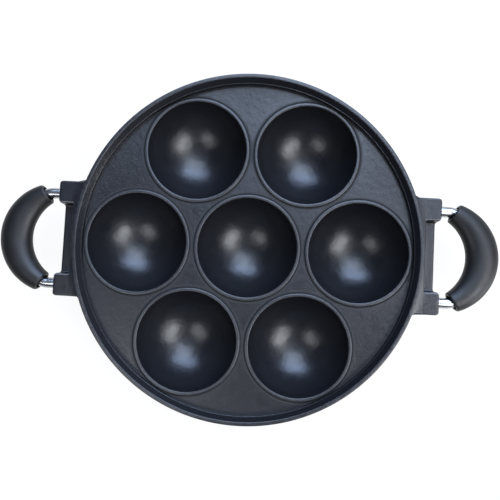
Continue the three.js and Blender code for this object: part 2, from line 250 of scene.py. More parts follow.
@labelled
class Finishes(PropertyGroup):
    """Colours of the finishes."""

    coat: colour((0.0052, 0.0055, 0.0075), "Matt coating on the tray, lip and lugs")
    coat_fleck: colour((0.026, 0.028, 0.033), "Paler flecks in the matt coating")
    smooth_coat: colour((0.0064, 0.0071, 0.0092), "Smoother coating in the wells and inside the lip")
    # The bare metal colour is also the painted highlight on the lugs' edges and, in part, on the bead crowns
    bare_metal: colour((0.36, 0.37, 0.38), "Casting where the coating is rubbed thin")
    steel: colour((0.50, 0.51, 0.52), "Bent handle rods")
    moulding: colour((0.005, 0.005, 0.0052), "Black heat-proof grips")
    moulding_bloom: colour((0.024, 0.0235, 0.023), "Rubbed places on the grips")
    pin_steel: colour((0.50, 0.51, 0.52), "Plain steel pins")
    floor: colour((0.5, 0.5, 0.5), "Pale paper floor")


@labelled
class StageSettings(PropertyGroup):
    """Camera and lamps."""

    distance: mm(375.0, "Distance of the camera from the middle of the beads' plane")
    lean_back: degrees(3.32, "Lean of the camera towards the cook")
    lean_side: degrees(1.694, "Lean of the camera towards the right handle")
    turn: degrees(2.876, "Turn of the pan in the picture, clockwise")
    aim_right: degrees(0.321, "How far the camera looks to the right of the pan's middle")
    aim_down: degrees(0.271, "How far the camera looks below the pan's middle")
    focal_pixels: plain(543.29, "Focal length in pixels of the square picture")
    window_power: watts(44.0, "Large cool panel behind the pan")
    skylight_power: watts(29.0, "Smaller cool panel above the window")
    right_lamp_power: watts(19.5, "Long lamp over the cook's right shoulder")
    side_panel_power: watts(4.0, "Wide dim panel high on the right")
    low_lamp_power: watts(0.3, "Small low panel beside the right handle")
    left_lamp_power: watts(0.52, "Small near lamp over the cook's left shoulder")
    ceiling: plain(0.55, "Brightness of the room overhead")
    left_wall: plain(0.05, "Brightness of the room on the left")
    right_wall: plain(0.25, "Brightness of the room on the right")


@labelled
class EggPan(PropertyGroup):
    """All that a user may change about the pan and its stage."""

    casting: held(CastingSizes)
    lug: held(LugSizes)
    handle: held(HandleSizes)
    finish: held(Finishes)
    stage: held(StageSettings)


def settings():
    """What the user has set for the pan in this scene."""
    return bpy.context.scene.egg_pan


def layout():
    """Levels and radii that follow from the sizes, worked out as the part's source does."""
    s = settings()
    c, g, h = s.casting, s.lug, s.handle
    d = SimpleNamespace()
    d.bead_radius = c.mouth_radius + c.bead_width
    d.pitch = 2 * d.bead_radius + c.bead_gap
    d.well_sphere = (c.mouth_radius ** 2 + c.depth ** 2) / (2 * c.depth)
    d.dome_sphere = d.well_sphere + c.wall
    d.sphere_level = math.sqrt(d.dome_sphere ** 2 - c.foot_radius ** 2)
    d.floor = d.sphere_level - d.well_sphere + c.depth
    d.underside = d.floor - c.plate
    d.ledge = d.floor + c.ledge_height
    d.lip = d.floor + c.lip_height
    d.bead_ring = d.bead_radius + c.bead_foot
    d.lip_radius = LIP_RADIUS
    d.lip_inner = d.lip_radius - c.lip_thickness
    d.ledge_radius = d.lip_inner - c.lip_run
    d.wall_radius = d.ledge_radius - c.ledge_width
    d.floor_radius = d.wall_radius - c.floor_fillet
    d.block_face = d.lip_radius + g.reach
    d.block_top = d.lip - g.drop
    d.block_bottom = d.block_top - g.roof - h.rod_diameter - g.base
    d.web_top = d.block_bottom + g.web_thickness
    d.rod_radius = h.rod_diameter / 2
    d.rod_level = d.block_bottom + g.base + d.rod_radius
    d.half_arc = h.arc_radius * h.arc_half_angle
    d.bend = h.bend_radius * (math.pi / 2 - h.arc_half_angle)
    d.leg_offset = (h.arc_radius - h.bend_radius) * math.sin(h.arc_half_angle) + h.bend_radius
    d.block_side = d.leg_offset + g.outer_side
    d.pocket_side = d.leg_offset - g.inner_side
    d.bend_centre = d.block_face + h.free_leg
    d.arc_centre = d.bend_centre - (h.arc_radius - h.bend_radius) * math.cos(h.arc_half_angle)
    d.rod_end = d.block_face - h.seat
    d.grip_half_angle = h.arc_half_angle + h.overhang / h.arc_radius
    d.mouth_radius = d.rod_radius + h.mouth_gap
    d.pin_top = d.block_top - h.pin_roof
    outer_wells = 6
    angles = full_turn(outer_wells)
    outer = d.pitch * np.stack([np.cos(angles), np.sin(angles)], axis=1)
    d.wells = np.vstack([np.zeros((1, 2)), outer])
    return d


# Surfaces as arrays

def full_turn(count):
    """Even angles round a full turn, without the last one, which is the first again."""
    return np.linspace(0, 2 * math.pi, count, endpoint=False)


def ease(share):
    """A share from 0 to 1 that sets off and arrives level: three squares less two cubes."""
    return share * share * (3 - 2 * share)


def to_nearest(points, centres):
    """Distance of each plan point from the nearest centre."""
    return np.linalg.norm(points[:, None] - centres[None], axis=2).min(axis=1)


def arc(x, y, radius, start, end, steps):
    """Points of a circle about (x, y) from one angle to another, both ends included."""
    t = np.linspace(start, end, steps + 1)
    return np.stack([x + radius * np.cos(t), y + radius * np.sin(t)], axis=1)


def rounded_runs(corners):
    """Straight runs between corners (x, y, radius), each radius drawn as an arc tangent to both runs. The
    first and the last corner only say where the runs come from and go to."""
    points = []
    for before, (x, y, radius), after in zip(corners, corners[1:], corners[2:]):
        corner = np.array([x, y])
        back = np.array(before[:2]) - corner
        on = np.array(after[:2]) - corner
        back /= np.linalg.norm(back)
        on /= np.linalg.norm(on)
        half = math.acos(back @ on) / 2
        middle = (back + on) / np.linalg.norm(back + on)
        centre = corner + middle * radius / math.sin(half)
        first = corner + back * radius / math.tan(half) - centre
        last = corner + on * radius / math.tan(half) - centre
        start = math.atan2(first[1], first[0])
        turn = math.atan2(first[0] * last[1] - first[1] * last[0], first @ last)
        points.append(arc(*centre, radius, start, start + turn, ROUND_STEPS))
    return np.vstack(points)


def grid_quads(rows, columns, close_rows=False):
    """Quads over points numbered row by row. Columns close to a ring, and rows too if asked."""
    a, b = np.meshgrid(np.arange(rows if close_rows else rows - 1), np.arange(columns), indexing="ij")
    next_a, next_b = (a + 1) % rows, (b + 1) % columns
    corners = [a * columns + b, a * columns + next_b, next_a * columns + next_b, next_a * columns + b]
    return np.stack(corners, axis=-1).reshape(-1, 4)


def ring(radius, segments, centre=(0.0, 0.0)):
    """Plan points of a circle: x = cx + r cos a, y = cy + r sin a, for a round a full turn."""
    a = full_turn(segments)
    return np.stack([centre[0] + radius * np.cos(a), centre[1] + radius * np.sin(a)], axis=-1)


def turned(profile, segments, centre=(0.0, 0.0)):
    """A profile (r, z) turned about an upright axis: a ring of each radius at its own height."""
    plan = ring(profile[:, :1], segments, centre)
    height = np.broadcast_to(profile[:, 1:, None], (len(profile), segments, 1))
    return np.concatenate([plan, height], axis=-1).reshape(-1, 3), grid_quads(len(profile), segments)


def flat_between(outer_radius, hole_radius, centres, level, aprons=()):
    """The flat at one level between a round edge and round holes: a constrained triangulation of their rings
    and of loose points on wider rings round the holes, where these lie clear of the edge and other holes."""
    rim_clearance, ring_share = 0.3 * MM, 0.99
    rings = [ring(outer_radius, RIM_SEGMENTS)] + [ring(hole_radius, WELL_SEGMENTS, c) for c in centres]
    edges, start = [], 0
    for closed in rings:
        order = np.arange(len(closed))
        edges += (start + np.stack([order, np.roll(order, -1)], axis=1)).tolist()
        start += len(closed)
    points = np.vstack(rings)
    for width in aprons:
        loose = np.vstack([ring(hole_radius + width, WELL_SEGMENTS, c) for c in centres])
        clear = np.linalg.norm(loose, axis=1) < outer_radius - rim_clearance
        clear &= to_nearest(loose, centres) > hole_radius + ring_share * width
        points = np.vstack([points, loose[clear]])
    scale = 1 / outer_radius
    flat, _, faces, *_ = delaunay_2d_cdt((points * scale).tolist(), edges, [], 0, MERGE)
    flat, faces = np.array(flat) / scale, np.array(faces)
    outside = to_nearest(flat[faces].mean(axis=1), centres) > hole_radius * JUST_SHORT
    return np.column_stack([flat, np.full(len(flat), level)]), faces[outside]


def on_side(surface, side):
    """A surface of the right-hand side, or the same turned by half a turn about Z for the left."""
    points, *faces = surface
    return points * np.array([side, side, 1.0]), *faces


def new_object(name, data):
    """An object in the scene for a mesh, a lamp or a camera."""
    obj = bpy.data.objects.new(name, data)
    bpy.context.scene.collection.objects.link(obj)
    return obj


def make_object(name, *surfaces):
    """One mesh object from surfaces (points, faces): joined, welded where they meet and turned outwards."""
    points, faces, start = [], [], 0
    for surface_points, *surface_faces in surfaces:
        for group in surface_faces:
            faces += (group + start).tolist()
        points.append(surface_points)
        start += len(surface_points)
    mesh = bpy.data.meshes.new(name)
    mesh.from_pydata(np.vstack(points).tolist(), [], faces)
    work = bmesh.new()
    work.from_mesh(mesh)
    bmesh.ops.remove_doubles(work, verts=work.verts, dist=WELD)
    bmesh.ops.dissolve_degenerate(work, edges=work.edges, dist=WELD / 10)
    loose = [v for v in work.verts if not v.link_faces]
    bmesh.ops.delete(work, geom=loose, context="VERTS")
    bmesh.ops.recalc_face_normals(work, faces=work.faces)
    if work.calc_volume(signed=True) < 0:
        bmesh.ops.reverse_faces(work, faces=work.faces)
    open_edges = sum(not e.is_manifold for e in work.edges)
    work.to_mesh(mesh)
    work.free()
    if open_edges:
        raise RuntimeError(f"{name} has {open_edges} open edges")
    return new_object(name, mesh)


def combine(target, tools, operation):
    """Adds or cuts closed tool objects, exactly, and removes them."""
    for tool in tools:
        modifier = target.modifiers.new(operation, "BOOLEAN")
        modifier.operation = operation
        modifier.solver = "EXACT"
        modifier.object = tool
    bpy.context.view_layer.update()
    evaluated = target.evaluated_get(bpy.context.evaluated_depsgraph_get())
    mesh = bpy.data.meshes.new_from_object(evaluated)
    old = target.data
    target.modifiers.clear()
    target.data = mesh
    mesh.name = target.name
    bpy.data.meshes.remove(old)
    for tool in tools:
        bpy.data.meshes.remove(tool.data)


def coat(mesh, material):
    """Gives a mesh one finish."""
    mesh.materials.clear()
    mesh.materials.append(material)


def dress(obj, node, material):
    """Smooths a finished piece between its creases and puts it in the place of its CAD node."""
    obj.data.shade_smooth()
    obj.data.set_sharp_from_angle(angle=CREASE_ANGLE)
    coat(obj.data, material)
    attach(obj, BODY)
    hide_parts(node)


# Shader nodes

class Nodes:
    """Adds nodes to a tree, with values or links given by input name or number."""

    per_row = 8
    spacing = (220, -260)

    def __init__(self, tree):
        self.tree = tree

    def add(self, kind, inputs=None, **options):
        """One node with its options and inputs. Colours are given without alpha."""
        row, column = divmod(len(self.tree.nodes), self.per_row)
        node = self.tree.nodes.new(kind)
        node.location = (column * self.spacing[0], row * self.spacing[1])
        for key, value in options.items():
            setattr(node, key, value)
        for key, value in (inputs or {}).items():
            socket = node.inputs[key]
            if isinstance(value, NodeSocket):
                self.tree.links.new(value, socket)
            else:
                socket.default_value = (*value, 1.0) if socket.type == "RGBA" else value
        return node

    def math(self, operation, *values, clamp=False):
        """The result of one operation on values."""
        node = self.add("ShaderNodeMath", dict(enumerate(values)), operation=operation, use_clamp=clamp)
        return node.outputs[0]

    def mix(self, factor, a, b):
        """A value between two values."""
        return self.add("ShaderNodeMix", {0: factor, 2: a, 3: b}, data_type="FLOAT").outputs[0]

    def blend(self, factor, a, b):
        """A colour between two colours."""
        return self.add("ShaderNodeMix", {0: factor, 6: a, 7: b}, data_type="RGBA").outputs[2]

    def shaders(self, factor, a, b):
        """A mixture of two shader nodes."""
        return self.add("ShaderNodeMixShader", {0: factor, 1: a.outputs[0], 2: b.outputs[0]})

    def ramp(self, value, low, high, start=0.0, stop=1.0, **options):
        """A value carried from the range low to high to the range start to stop."""
        inputs = {"Value": value, "From Min": low, "From Max": high, "To Min": start, "To Max": stop}
        return self.add("ShaderNodeMapRange", inputs, **options).outputs[0]

    def place(self):
        """The place on the piece, in its own coordinates."""
        return self.add("ShaderNodeTexCoord").outputs["Object"]

    def noise(self, place, scale, detail, roughness=0.5):
        """Soft noise from 0 to 1."""
        inputs = {"Vector": place, "Scale": scale, "Detail": detail, "Roughness": roughness}
        return self.add("ShaderNodeTexNoise", inputs).outputs[0]

    def mask(self, name):
        """A mask stored with the mesh."""
        return self.add("ShaderNodeAttribute", attribute_name=name).outputs["Fac"]

    def bump(self, height, strength, distance, **more):
        """A normal tilted by a height."""
        inputs = {"Height": height, "Strength": strength, "Distance": distance, **more}
        return self.add("ShaderNodeBump", inputs).outputs[0]

    def effect(self, name, **values):
        """The outputs of a shared effect that is placed with its own values."""
        inputs = {key.replace("_", " "): value for key, value in values.items()}
        return self.add("ShaderNodeGroup", inputs, node_tree=effect_group(name)).outputs

    def clouds(self, per_metre, **values):
        """The effect of cloudy unevenness, from 0 to 1."""
        return self.effect("Cloudy unevenness", Clouds_per_metre=per_metre, **values)["Cloud"]

    def surface(self, inputs):
        """A Principled shader on the material's output."""
        shader = self.add("ShaderNodeBsdfPrincipled", inputs)
        self.add("ShaderNodeOutputMaterial", {"Surface": shader.outputs[0]})


def fine_grain(nodes, given):
    """Two sizes of noise give a height, and the peaks of the finer one give sparse flecks."""
    coarser = 0.3
    place = nodes.place()
    fine = nodes.noise(place, given["Grains per metre"], detail=2.0, roughness=0.6)
    coarse_scale = nodes.math("MULTIPLY", given["Grains per metre"], coarser)
    height = nodes.mix(given["Coarseness"], fine, nodes.noise(place, coarse_scale, detail=2.0))
    return {"Height": height, "Flecks": nodes.ramp(fine, low=0.56, high=0.72)}


def cloudy_unevenness(nodes, given):
    """Slow noise, spread to run from 0 to 1 with a soft middle."""
    cloud = nodes.noise(nodes.place(), given["Clouds per metre"], given["Detail"], roughness=0.55)
    return {"Cloud": nodes.ramp(cloud, low=0.3, high=0.7)}


def crest_rubbing(nodes, given):
    """A band of height about a level, broken up by noise."""
    place = nodes.place()
    height = nodes.add("ShaderNodeSeparateXYZ", {0: place}).outputs["Z"]
    off = nodes.math("ABSOLUTE", nodes.math("SUBTRACT", height, given["Level"]))
    band = nodes.math("SUBTRACT", 1.0, nodes.math("DIVIDE", off, given["Half width"]), clamp=True)
    broken = nodes.ramp(nodes.noise(place, given["Breaks per metre"], detail=3.0), low=0.35, high=0.75)
    return {"Rubbed": nodes.math("MULTIPLY", band, broken, clamp=True)}


def polishing_lines(nodes, given):
    """Noise drawn out along X and Y, which leaves hair-fine lines."""
    long_way = nodes.math("MULTIPLY", given["Lines per metre"], given["Drawn out"])
    stretch = nodes.add("ShaderNodeCombineXYZ", {0: long_way, 1: long_way, 2: given["Lines per metre"]})
    drawn = nodes.add(
        "ShaderNodeVectorMath", {0: nodes.place(), 1: stretch.outputs[0]}, operation="MULTIPLY"
    )
    return {"Lines": nodes.noise(drawn.outputs[0], scale=1.0, detail=3.0)}


EFFECTS = {
    "Fine grain": (fine_grain, {"Grains per metre": 1500.0, "Coarseness": 0.5}),
    "Cloudy unevenness": (cloudy_unevenness, {"Clouds per metre": 90.0, "Detail": 4.0}),
    "Crest rubbing": (crest_rubbing, {"Level": 0.04, "Half width": 0.0005, "Breaks per metre": 400.0}),
    "Polishing lines": (polishing_lines, {"Lines per metre": 2600.0, "Drawn out": 0.06}),
}


def effect_group(name):
    """The shader node group of an effect, made once, with named inputs and outputs."""
    if name in bpy.data.node_groups:
        return bpy.data.node_groups[name]
    build, defaults = EFFECTS[name]
    tree = bpy.data.node_groups.new(name, "ShaderNodeTree")
    for label, default in defaults.items():
        socket = tree.interface.new_socket(label, in_out="INPUT", socket_type="NodeSocketFloat")
        socket.default_value = default
    nodes = Nodes(tree)
    values = build(nodes, nodes.add("NodeGroupInput").outputs)
    for label in values:
        tree.interface.new_socket(label, in_out="OUTPUT", socket_type="NodeSocketFloat")
    nodes.add("NodeGroupOutput", values)
    return tree


# Finishes

def new_material(name):
    """A node material without nodes, and what adds them."""
    material = bpy.data.materials.new(name)
    material.use_nodes = True
    material.node_tree.nodes.clear()
    return material, Nodes(material.node_tree)


def coated_casting():
    """Satin non-stick coating: matt and flecked on tray, lip and lugs, smoother in the wells, glossier on the
    slope inside the lip, rough beside the beads, where painted shade darkens the creases. Bare metal shows a
    little on the lip and on the bead crowns, whose paler crown is partly rubbing and partly a painted
    highlight, and more on the feet. A painted highlight of bare metal lies on the round edges at the
    pockets' ends."""
    # Painted shade: the coat is darkened to this share in the creases beside the beads
    crease_painted_shade, crease_roughness, slope_roughness = 0.2, 0.9, 0.2
    colours, d = settings().finish, layout()
    material, nodes = new_material("coated_casting")
    grain = nodes.effect("Fine grain", Grains_per_metre=1500.0, Coarseness=0.35)
    cloud = nodes.clouds(150.0)
    waves = nodes.clouds(210.0, Detail=1.0)
    lip = nodes.effect("Crest rubbing", Level=d.lip, Half_width=0.6 * MM, Breaks_per_metre=350.0)["Rubbed"]
    foot = nodes.effect("Crest rubbing", Level=0.0, Half_width=0.4 * MM, Breaks_per_metre=260.0)["Rubbed"]
    edge, hollow, slope, crown, shaded_crease = [nodes.mask(name) for name in MASKS]
    # Rubbed metal on lip and feet, rubbing and painted highlight on the bead crowns, painted highlight on the
    # pocket-end edges
    rubbed_and_highlit = 0.0
    for place, share in ((crown, CROWN_RUB_AND_HIGHLIGHT), (lip, LIP_RUB), (edge, EDGE_HIGHLIGHT), (foot, FOOT_RUB)):
        rubbed_and_highlit = nodes.math("MAXIMUM", rubbed_and_highlit, nodes.math("MULTIPLY", place, share))
    flecked = nodes.blend(grain["Flecks"], colours.coat, colours.coat_fleck)
    base = nodes.blend(hollow, flecked, colours.smooth_coat)
    base = nodes.blend(rubbed_and_highlit, base, colours.bare_metal)
    # Painted shade: a darker coat in the creases beside the beads
    base = nodes.blend(shaded_crease, base, colours.coat * crease_painted_shade)
    matt, smooth = nodes.mix(cloud, 0.30, 0.38), nodes.mix(cloud, 0.28, 0.36)
    roughness = nodes.mix(hollow, matt, smooth)
    roughness = nodes.mix(shaded_crease, roughness, crease_roughness)
    roughness = nodes.mix(slope, roughness, slope_roughness)
    wavy = nodes.bump(waves, strength=1.0, distance=0.06 * MM)
    depth = nodes.mix(hollow, 0.25 * MM, 0.06 * MM)
    normal = nodes.bump(grain["Height"], strength=0.6, distance=depth, Normal=wavy)
    nodes.surface({"Base Color": base, "Roughness": roughness, "Normal": normal})
    return material


def polished_rod():
    """Polished steel with hair-fine lines and a cloudy tone."""
    patches, shade = 0.25, 0.82
    steel = settings().finish.steel
    material, nodes = new_material("polished_rod")
    lines = nodes.effect("Polishing lines", Lines_per_metre=2600.0, Drawn_out=0.05)["Lines"]
    cloud = nodes.clouds(160.0)
    nodes.surface({
        "Base Color": nodes.blend(nodes.math("MULTIPLY", cloud, patches), steel, steel * shade),
        "Roughness": nodes.ramp(lines, low=0.3, high=0.7, start=0.18, stop=0.27),
        "Metallic": 1.0,
        "Normal": nodes.bump(lines, strength=0.06, distance=0.1 * MM),
    })
    return material


def moulded_grip():
    """Black satin moulding: fine grain, cloudy gloss and a faint bloom where hands rub the top."""
    hand_rub, bloom = 0.6, 0.22
    s, d = settings(), layout()
    material, nodes = new_material("moulded_grip")
    grain = nodes.effect("Fine grain", Grains_per_metre=1300.0, Coarseness=0.45)
    cloud = nodes.clouds(140.0)
    top = d.rod_level + s.handle.grip_height / 2
    rub = nodes.effect("Crest rubbing", Level=top, Half_width=4 * MM, Breaks_per_metre=500.0)["Rubbed"]
    worn = nodes.math("ADD", nodes.math("MULTIPLY", rub, hand_rub), grain["Flecks"])
    worn = nodes.math("MULTIPLY", worn, bloom)
    nodes.surface({
        "Base Color": nodes.blend(worn, s.finish.moulding, s.finish.moulding_bloom),
        "Roughness": nodes.mix(cloud, 0.40, 0.50),
        "Specular IOR Level": 0.42,
        "Normal": nodes.bump(grain["Height"], strength=0.3, distance=0.2 * MM),
    })
    return material


def steel_pin():
    """Plain drawn steel, duller than the rods."""
    shade = 0.75
    steel = settings().finish.pin_steel
    material, nodes = new_material("steel_pin")
    lines = nodes.effect("Polishing lines", Lines_per_metre=3200.0, Drawn_out=0.5)["Lines"]
    cloud = nodes.clouds(600.0)
    nodes.surface({
        "Base Color": nodes.blend(cloud, steel, steel * shade),
        "Roughness": nodes.mix(cloud, 0.3, 0.42),
        "Metallic": 1.0,
        "Normal": nodes.bump(lines, strength=0.1, distance=0.1 * MM),
    })
    return material


# The casting

def bead_profile(c, d):
    """An ellipse with squared shoulders, its cosine and sine raised to a power, that leans in over the well's
    mouth. It is followed from below the floor over its crown and run out to the floor on a cubic curve."""
    tuck, stop = 0.4, 0.25
    fall_pull, floor_pull = 0.55, 0.9
    t = np.linspace(math.pi + tuck, stop, 4 * ROUND_STEPS)
    half_width = (c.bead_width + c.bead_lean) / 2
    across, up = [np.sign(v) * np.abs(v) ** BEAD_SQUARENESS for v in (np.cos(t), np.sin(t))]
    radius = d.bead_radius - half_width + half_width * across
    over = np.stack([radius, d.floor + c.bead_height * up], axis=1)
    start, end = over[-1], np.array([d.bead_ring, d.floor])
    fall = over[-1] - over[-2]
    first = start + fall / np.linalg.norm(fall) * fall_pull * (start[1] - d.floor)
    second = end - np.array([floor_pull * c.bead_foot, 0])
    u = np.linspace(0, 1, ROUND_STEPS + 1)[1:, None]
    run = (1 - u) ** 3 * start + 3 * u * (1 - u) ** 2 * first
    run += 3 * u ** 2 * (1 - u) * second + u ** 3 * end
    return np.vstack([over, run])


def well_profile(c, d):
    """Part of a sphere from the well's lowest point up to a neck just under its mouth, then the bead."""
    neck_drop = 0.9
    neck = d.floor - neck_drop * c.bead_height
    t = np.linspace(0, math.acos((d.sphere_level - neck) / d.well_sphere), SPHERE_STEPS)
    bowl = np.stack([d.well_sphere * np.sin(t), d.sphere_level - d.well_sphere * np.cos(t)], axis=1)
    return np.vstack([bowl, bead_profile(c, d)])


def dome_profile(c, d):
    """From the middle of the foot over an edge that is a square curve, up the sphere and out on a fillet to
    the underside. Returns the profile and the radius where it meets the underside."""
    level = d.underside - c.dome_fillet
    reach = math.sqrt((d.dome_sphere + c.dome_fillet) ** 2 - (d.sphere_level - level) ** 2)
    meeting = math.atan2(level - d.sphere_level, reach)
    start = math.atan2(-d.sphere_level, c.foot_radius)
    clear = c.foot_edge / d.dome_sphere
    side = arc(0, d.sphere_level, d.dome_sphere, start + clear, meeting, DOME_STEPS)
    foot = np.array([[0, 0], [c.foot_radius - c.foot_edge, 0]])
    u = np.linspace(0, 1, ROUND_STEPS)[1:-1, None]
    corner = np.array([c.foot_radius, 0])
    edge = (1 - u) ** 2 * foot[1] + 2 * u * (1 - u) * corner + u ** 2 * side[0]
    out = arc(reach, level, c.dome_fillet, meeting + math.pi, math.pi / 2, ROUND_STEPS)[1:]
    return np.vstack([foot, edge, side, out]), reach


def rim_profile(c, d):
    """From the floor's edge up a wall, over a ledge and a slope to the flat lip, and down the outside."""
    base = d.lip_radius - (d.lip - d.underside) * math.tan(c.wall_draft)
    return rounded_runs([
        (d.floor_radius, d.floor),
        (d.wall_radius, d.floor, c.floor_fillet * JUST_SHORT),
        (d.wall_radius, d.ledge, c.ledge_edge),
        (d.ledge_radius, d.ledge, c.ledge_edge),
        (d.lip_inner, d.lip, c.lip_edge),
        (d.lip_radius, d.lip, c.lip_edge),
        (base, d.underside, c.wall_corner),
        (0, d.underside),
    ])


def casting_shell():
    """Wells, beads, floor, rim, underside and domes as turned surfaces that share their rings."""
    c, d = settings().casting, layout()
    well = well_profile(c, d)
    dome, dome_ring = dome_profile(c, d)
    rim = rim_profile(c, d)
    parts = [turned(profile, WELL_SEGMENTS, centre) for profile in (well, dome) for centre in d.wells]
    parts.append(turned(rim, RIM_SEGMENTS))
    parts.append(flat_between(rim[0, 0], well[-1, 0], d.wells, d.floor, c.bead_apron * APRON_RINGS))
    parts.append(flat_between(rim[-1, 0], dome_ring, d.wells, d.underside))
    return make_object("pan_casting", *parts)


def step_profile(edge, fillet, drop, lean):
    """Offsets and falls of a step down: a round top edge, a leaning wall and a hollow fillet at its foot."""
    top = arc(0, -edge, edge, math.pi / 2, lean, ROUND_STEPS)
    wall = (drop - edge - fillet) * math.tan(lean)
    foot_x = top[-1, 0] + wall + fillet * math.cos(lean)
    foot = arc(foot_x, fillet - drop, fillet, math.pi + lean, 1.5 * math.pi, ROUND_STEPS)
    return np.vstack([top, foot])


def lug_sections(g, d, inner, fall):
    """Where a lug's sections stand along it, closest at the pocket's ends and the blocks' corners."""
    fine_before, fine_after, swing_before, swing_after = 6 * MM, 3 * MM, 2.4, 1.2
    block_end = d.block_side - g.corner
    half = np.concatenate([
        np.linspace(0, inner - fine_before, WEB_SECTIONS),
        inner - fall[:, 0],
        inner + g.web_setback * np.linspace(-swing_before, swing_after, 4 * ROUND_STEPS),
        np.linspace(inner + fine_after, block_end, BLOCK_SECTIONS),
        block_end + g.corner * np.sin(np.linspace(0, math.pi / 2, 2 * ROUND_STEPS)),
    ])
    half = np.unique(np.round(half, decimals=8))
    return np.concatenate([-half[:0:-1], half])[:, None]


def round_off(distance, radius):
    """How far a round corner falls back by the distance along it: the radius less its circle's height."""
    return radius - np.sqrt(radius ** 2 - np.clip(distance, 0, radius) ** 2)


def lug_surface():
    """A lug as sections across its length, from inside the lip over the top, round the outer edge, down the
    face and back along the bottom. The top's height is the block's, less the pocket's depth times the shares
    of the falls along and across it, plus a rise to the lip that goes with the square of the distance."""
    tuck, tuck_slope, root_depth = 0.7 * MM, 0.3, 4.5 * MM
    flare_run, swing_share = 5 * MM, 1.1
    g, d = settings().lug, layout()
    outer = d.block_side
    inner = d.pocket_side + g.edge
    depth = d.block_top - d.web_top
    fall = step_profile(g.pocket_edge, g.pocket_fillet, depth, g.pocket_draft)
    side_fall = step_profile(g.edge / 2, g.side_fillet, depth, g.side_draft)
    pocket_start = d.lip_radius + g.strip - g.edge / 2
    y = lug_sections(g, d, inner, fall)
    away = np.abs(y)

    swing = swing_share * g.web_setback
    share = np.clip((away - d.pocket_side + swing) / (2 * swing), 0, 1)
    face = d.block_face - g.web_setback * (1 - ease(share))
    face = face - round_off(away - (outer - g.corner), g.corner)
    sink = round_off(away - (outer - g.edge), g.edge)

    near_lip = np.sqrt((d.lip_radius + LIP_RINGS[None]) ** 2 - away ** 2)
    wall_run = pocket_start + side_fall[None, :, 0] + 0 * y
    wall_end = wall_run[:, -1:]
    web_run = wall_end + (face - g.edge - wall_end) * np.linspace(0, 1, WEB_STEPS)[None, 1:]
    x = np.sort(np.concatenate([near_lip, wall_run, web_run], axis=1), axis=1)
    across = np.interp(x - pocket_start, side_fall[:, 0], side_fall[:, 1], left=0.0) / depth
    along = np.interp(inner - away, fall[:, 0], fall[:, 1], left=0.0) / depth
    past_lip = np.hypot(x, away) - d.lip_radius + tuck
    rise = g.drop * np.clip(1 - past_lip / g.lip_blend, 0, 1) ** 2
    rise = np.where(past_lip < 0, g.drop + tuck_slope * past_lip, rise)
    z = d.block_top - sink + rise - depth * across * along

    q = np.linspace(0, math.pi / 2, ROUND_STEPS + 1)[None]
    edge_x = face - g.edge + g.edge * np.sin(q[:, 1:])
    edge_z = z[:, -1:] - g.edge + g.edge * np.cos(q[:, 1:])
    low = d.block_bottom + sink
    low_x = face - g.edge + g.edge * np.cos(q)
    low_z = low + g.edge - g.edge * np.sin(q)
    root = np.sqrt((d.lip_radius - root_depth) ** 2 - away ** 2)
    back_x = np.concatenate([0.5 * (root + face), root], axis=1)
    xs = np.concatenate([x, edge_x, low_x, back_x], axis=1)
    zs = np.concatenate([z, edge_z, low_z, low + 0 * back_x], axis=1)
    ys = y + 0 * xs

    reach = np.hypot(xs, ys)
    swell = round_off(g.flare - np.clip(reach - d.lip_radius, 0, g.flare), g.flare)
    share = np.clip((np.abs(ys) - (outer - flare_run)) / flare_run, 0, 1)
    turn = np.arctan2(ys, xs) + np.sign(ys) * swell * ease(share) / reach
    points = np.stack([reach * np.cos(turn), reach * np.sin(turn), zs], axis=-1)
    rows, columns = xs.shape
    caps = [np.arange(columns)[None], (rows - 1) * columns + np.arange(columns)[None]]
    return points.reshape(-1, 3), grid_quads(rows, columns), *caps


def upright(radius, low, high):
    """A closed upright cylinder: a profile of two flats and a side, turned."""
    return turned(np.array([[0, low], [radius, low], [radius, high], [0, high]]), ROD_SIDES)


def pin_holes(bottom):
    """Tools for the two pin holes of the right-hand lug: upright cylinders at the rod's legs."""
    h, d = settings().handle, layout()
    points, faces = upright(h.pin_diameter / 2 + h.fit, bottom, d.pin_top + h.fit)
    x = d.block_face - h.pin_setback
    return [(points + np.array([x, y, 0]), faces) for y in (-d.leg_offset, d.leg_offset)]


def rod_bores():
    """Tools for the two rod bores of the right-hand lug: cylinders along X, out past the block's face."""
    overrun = 5 * MM
    h, d = settings().handle, layout()
    points, faces = upright(d.rod_radius + h.fit, d.rod_end - h.fit, d.block_face + overrun)
    laid = points[:, [2, 0, 1]]
    return [(laid + np.array([0, y, d.rod_level]), faces) for y in (-d.leg_offset, d.leg_offset)]


def vectors(items, name):
    """One vector per vertex, as an array."""
    values = np.empty(3 * len(items), np.float32)
    items.foreach_get(name, values)
    return values.reshape(-1, 3)


